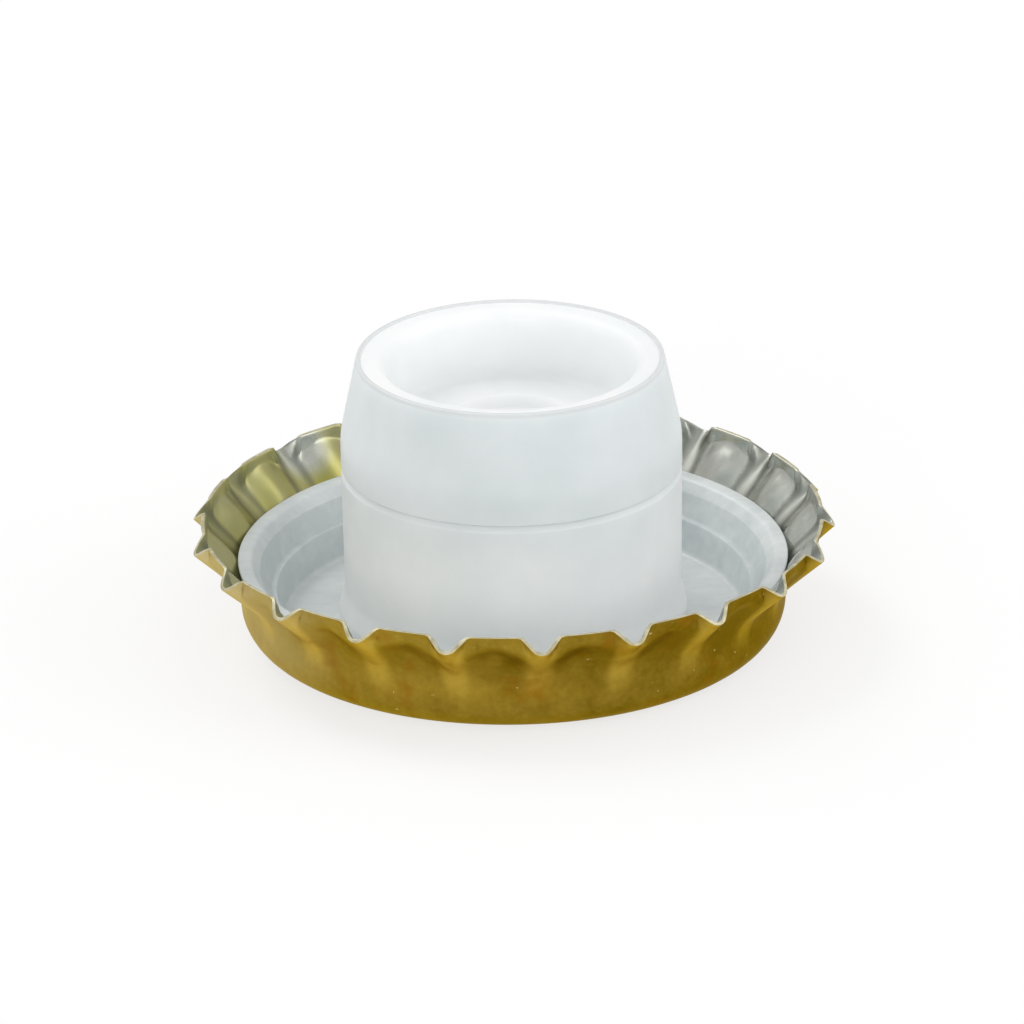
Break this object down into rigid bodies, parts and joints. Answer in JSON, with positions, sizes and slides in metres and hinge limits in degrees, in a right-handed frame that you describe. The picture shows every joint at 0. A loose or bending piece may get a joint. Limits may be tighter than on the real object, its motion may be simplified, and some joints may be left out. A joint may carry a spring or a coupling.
{
  "type": "crown bottle cap",
  "caption": "Crown cap for a sparkling-wine bottle, open side up: a fluted pressed-metal shell with a moulded sealing liner and a sediment cup standing in it.",
  "frame": {"origin": "on the cap's axis, at the outside face of its panel", "axes": "+Z along the cap's axis, out of its open side; +X through the middle of a flute"},
  "size_m": [0.0347, 0.0348, 0.016],
  "materials": {
    "lacquered_tinplate": "satin gold lacquer outside, bare tin inside",
    "liner_plastic": "translucent, softly glossy",
    "cup_plastic": "milky translucent, waxy"
  },
  "bodies": {
    "root": {"crown_shell": "lacquered_tinplate", "sealing_liner": "liner_plastic", "sediment_cup": "cup_plastic"}
  },
  "joints": []
}
